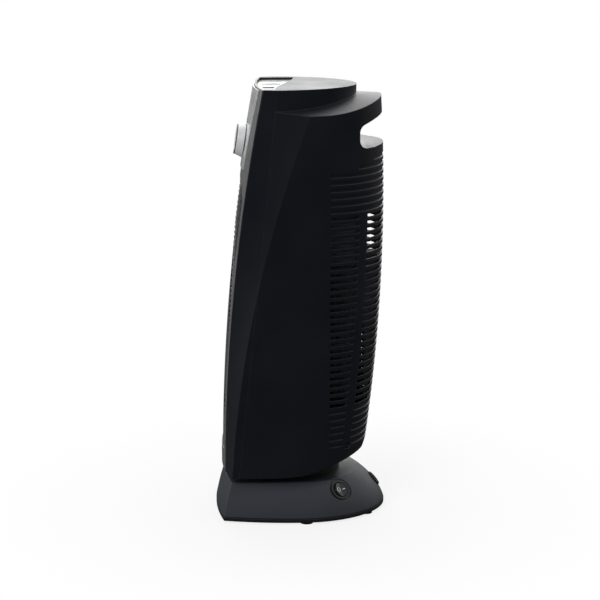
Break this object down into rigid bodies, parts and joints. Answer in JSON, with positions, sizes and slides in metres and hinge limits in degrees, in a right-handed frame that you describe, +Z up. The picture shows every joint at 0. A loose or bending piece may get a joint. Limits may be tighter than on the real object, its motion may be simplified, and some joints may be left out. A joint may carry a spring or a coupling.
{
  "type": "fan heater",
  "caption": "Oscillating tower fan heater with a ceramic element: tall casing with outlet louvres, rear intake slots, carry handle and control knob, turning on a sloped base with a rocker switch.",
  "frame": {"origin": "on the floor under the middle of the base", "axes": "+Z up, front of the heater towards -Y, rocker switch on the +X side"},
  "size_m": [0.187, 0.215, 0.54],
  "materials": {
    "base_plastic": "satin moulded",
    "base_plate_plastic": "matt moulded",
    "foot_rubber": "matt",
    "screw_steel": "plated",
    "bush_plastic": "matt moulded",
    "motor_steel": "plain",
    "switch_plastic": "polished",
    "gland_rubber": "matt",
    "terminal_plastic": "plain",
    "casing_plastic": "satin moulded",
    "fascia_grey": "metallic painted",
    "plate_silver": "metallic painted",
    "grille_plastic": "satin moulded",
    "inlay_white": "polished",
    "sheet_steel": "black painted",
    "bearing_brass": "plain",
    "heater_plastic": "heat-proof moulded",
    "heater_fins": "plain",
    "thermostat_plastic": "moulded",
    "rocker_plastic": "polished",
    "impeller_plastic": "moulded",
    "knob_silver": "metallic painted"
  },
  "bodies": {
    "base": {"base_cover": "base_plastic", "base_plate": "base_plate_plastic", "rubber_feet": "foot_rubber", "base_screws": "screw_steel", "pivot_bush": "bush_plastic", "oscillation_motor": "motor_steel", "switch_body": "switch_plastic", "cord_gland": "gland_rubber", "terminal_block": "terminal_plastic"},
    "tower": {"rear_casing": "casing_plastic", "front_casing": "casing_plastic", "fascia_frame": "fascia_grey", "control_plate": "plate_silver", "front_grille": "grille_plastic", "top_inlay": "inlay_white", "turntable_hub": "bush_plastic", "hub_screws": "screw_steel", "oscillation_arm": "bush_plastic", "fan_top_plate": "sheet_steel", "fan_bottom_plate": "sheet_steel", "scroll_guide": "sheet_steel", "scroll_tongue": "sheet_steel", "fan_motor": "motor_steel", "shaft_bearing": "bearing_brass", "heater_frame": "heater_plastic", "heater_core": "heater_fins", "thermal_cutout": "bearing_brass", "thermostat_body": "thermostat_plastic", "tilt_switch": "switch_plastic", "casing_screws": "screw_steel", "control_box": "heater_plastic"},
    "crank": {"crank_disc": "bush_plastic", "crank_pin": "screw_steel"},
    "rocker": {"power_rocker": "rocker_plastic"},
    "blower": {"impeller": "impeller_plastic", "fan_shaft": "screw_steel"},
    "knob": {"thermostat_knob": "knob_silver", "thermostat_spindle": "screw_steel"}
  },
  "joints": [
    {"name": "oscillation", "type": "hinge", "parent": "base", "child": "tower", "pos_m": [0, 0, 0.052], "axis": [0, 0, 1], "range_deg": [-30, 30]},
    {"name": "crank_turn", "type": "hinge", "parent": "base", "child": "crank", "pos_m": [0, 0.036, 0.027], "axis": [0, 0, 1], "range_deg": [-83, 83]},
    {"name": "fan_spin", "type": "hinge", "parent": "tower", "child": "blower", "pos_m": [0, 0.032, 0.2], "axis": [0, 0, 1], "continuous": true},
    {"name": "knob_turn", "type": "hinge", "parent": "tower", "child": "knob", "pos_m": [0, -0.06802, 0.47], "axis": [0, -0.9882, 0.1532], "range_deg": [0, 270]},
    {"name": "power_rock", "type": "hinge", "parent": "base", "child": "rocker", "pos_m": [0.06637, 0.04619, 0.03542], "axis": [0.5472, 0.3392, -0.7652], "range_deg": [0, 18]}
  ],
  "couplings": [
    {"joint": "crank_turn", "follows": "oscillation", "ratio": 2.73}
  ]
}
